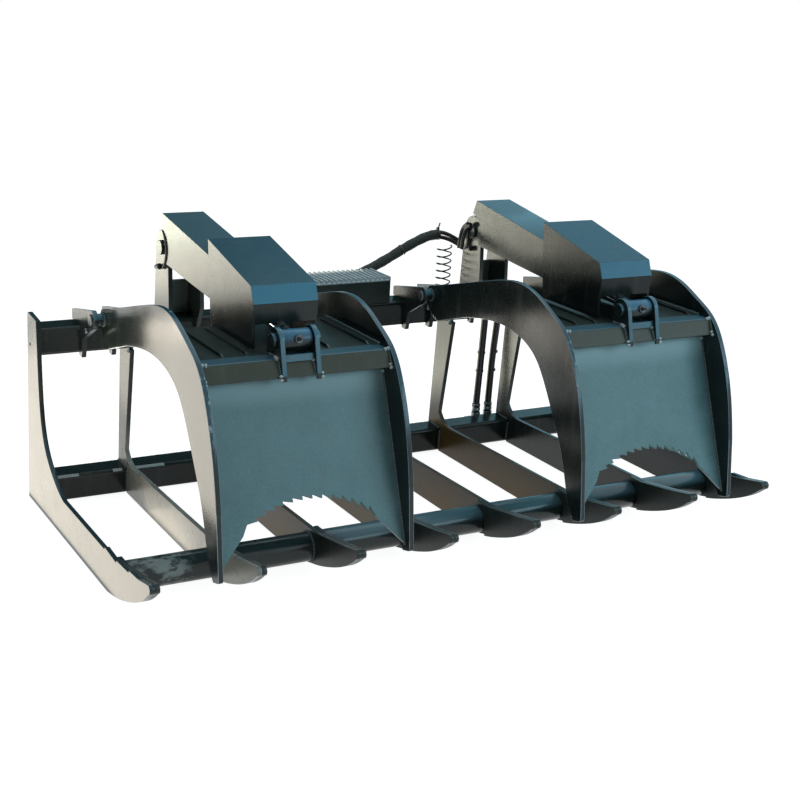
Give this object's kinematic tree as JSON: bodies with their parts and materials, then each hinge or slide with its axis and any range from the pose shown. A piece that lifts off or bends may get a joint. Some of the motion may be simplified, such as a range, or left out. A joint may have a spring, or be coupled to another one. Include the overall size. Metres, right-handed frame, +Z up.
{
  "type": "root grapple bucket",
  "caption": "Skeleton-tine root grapple bucket with hinged, toothed clamps on guarded hydraulic cylinders.",
  "frame": {"origin": "on the ground under the middle of the bucket", "axes": "+Z up, -Y forward towards the tine tips, +X to the right as seen from the front"},
  "size_m": [1.829, 1.0792, 0.814],
  "materials": {
    "enamel": "semi-gloss dark grey-teal enamel",
    "zinc": "zinc-plated steel pins, bolts and couplers",
    "chrome": "hard chrome rod",
    "rubber": "black rubber hose",
    "sleeve": "woven black hose sleeve",
    "spring": "oiled spring steel",
    "iron": "machined piston and gland"
  },
  "bodies": {
    "frame": {"end_plate_left": "enamel", "end_plate_right": "enamel", "tine_1": "enamel", "tine_2": "enamel", "tine_3": "enamel", "tine_4": "enamel", "tine_5": "enamel", "tine_6": "enamel", "nose_cheeks": "enamel", "top_tube": "enamel", "lower_tube": "enamel", "front_pipe": "enamel", "hinge_ears": "enamel", "hinge_pins": "zinc", "keeper_bolts": "zinc", "tower_plates_left": "enamel", "tower_back_left": "enamel", "tower_plates_right": "enamel", "tower_back_right": "enamel", "base_pins": "zinc", "step_box": "enamel", "step_grating": "enamel", "hook_rail": "enamel", "wedge_rail": "enamel", "supply_hoses": "rubber", "hose_junctions": "zinc", "hose_couplers": "zinc", "hose_brackets": "enamel", "hose_sleeve": "sleeve", "hose_spring": "spring"},
    "clamp_left": {"arch_outer_left": "enamel", "arch_inner_left": "enamel", "hinge_bosses_left": "enamel", "panel_left": "enamel", "crossbar_left": "enamel", "deck_left": "enamel", "deck_ribs_left": "enamel", "clevis_left": "enamel", "rod_pin_left": "zinc"},
    "rod_body_left": {"rod_left": "chrome", "piston_left": "iron", "front_guard_left": "enamel"},
    "barrel_body_left": {"barrel_left": "enamel", "gland_left": "iron", "rear_guard_left": "enamel"},
    "clamp_right": {"arch_outer_right": "enamel", "arch_inner_right": "enamel", "hinge_bosses_right": "enamel", "panel_right": "enamel", "crossbar_right": "enamel", "deck_right": "enamel", "deck_ribs_right": "enamel", "clevis_right": "enamel", "rod_pin_right": "zinc"},
    "rod_body_right": {"rod_right": "chrome", "piston_right": "iron", "front_guard_right": "enamel"},
    "barrel_body_right": {"barrel_right": "enamel", "gland_right": "iron", "rear_guard_right": "enamel"}
  },
  "joints": [
    {"name": "clamp_hinge_left", "type": "hinge", "parent": "frame", "child": "clamp_left", "pos_m": [-0.50325, 0.27859, 0.549], "axis": [-1, 0, 0], "range_deg": [0, 62]},
    {"name": "rod_eye_hinge_left", "type": "hinge", "parent": "clamp_left", "child": "rod_body_left", "pos_m": [-0.50325, -0.36641, 0.634], "axis": [-1, 0, 0], "range_deg": [-3.2, 0]},
    {"name": "cylinder_slide_left", "type": "slide", "parent": "rod_body_left", "child": "barrel_body_left", "axis": [0, -0.9947, -0.103], "range_m": [0, 0.2032]},
    {"name": "clamp_hinge_right", "type": "hinge", "parent": "frame", "child": "clamp_right", "pos_m": [0.50325, 0.27859, 0.549], "axis": [-1, 0, 0], "range_deg": [0, 62]},
    {"name": "rod_eye_hinge_right", "type": "hinge", "parent": "clamp_right", "child": "rod_body_right", "pos_m": [0.50325, -0.36641, 0.634], "axis": [-1, 0, 0], "range_deg": [-3.2, 0]},
    {"name": "cylinder_slide_right", "type": "slide", "parent": "rod_body_right", "child": "barrel_body_right", "axis": [0, -0.9947, -0.103], "range_m": [0, 0.2032]}
  ],
  "couplings": [
    {"joint": "rod_eye_hinge_left", "follows": "clamp_hinge_left", "ratio": -0.04894},
    {"joint": "cylinder_slide_left", "follows": "clamp_hinge_left", "m_per_rad": 0.18339},
    {"joint": "rod_eye_hinge_right", "follows": "clamp_hinge_right", "ratio": -0.04894},
    {"joint": "cylinder_slide_right", "follows": "clamp_hinge_right", "m_per_rad": 0.18339}
  ]
}
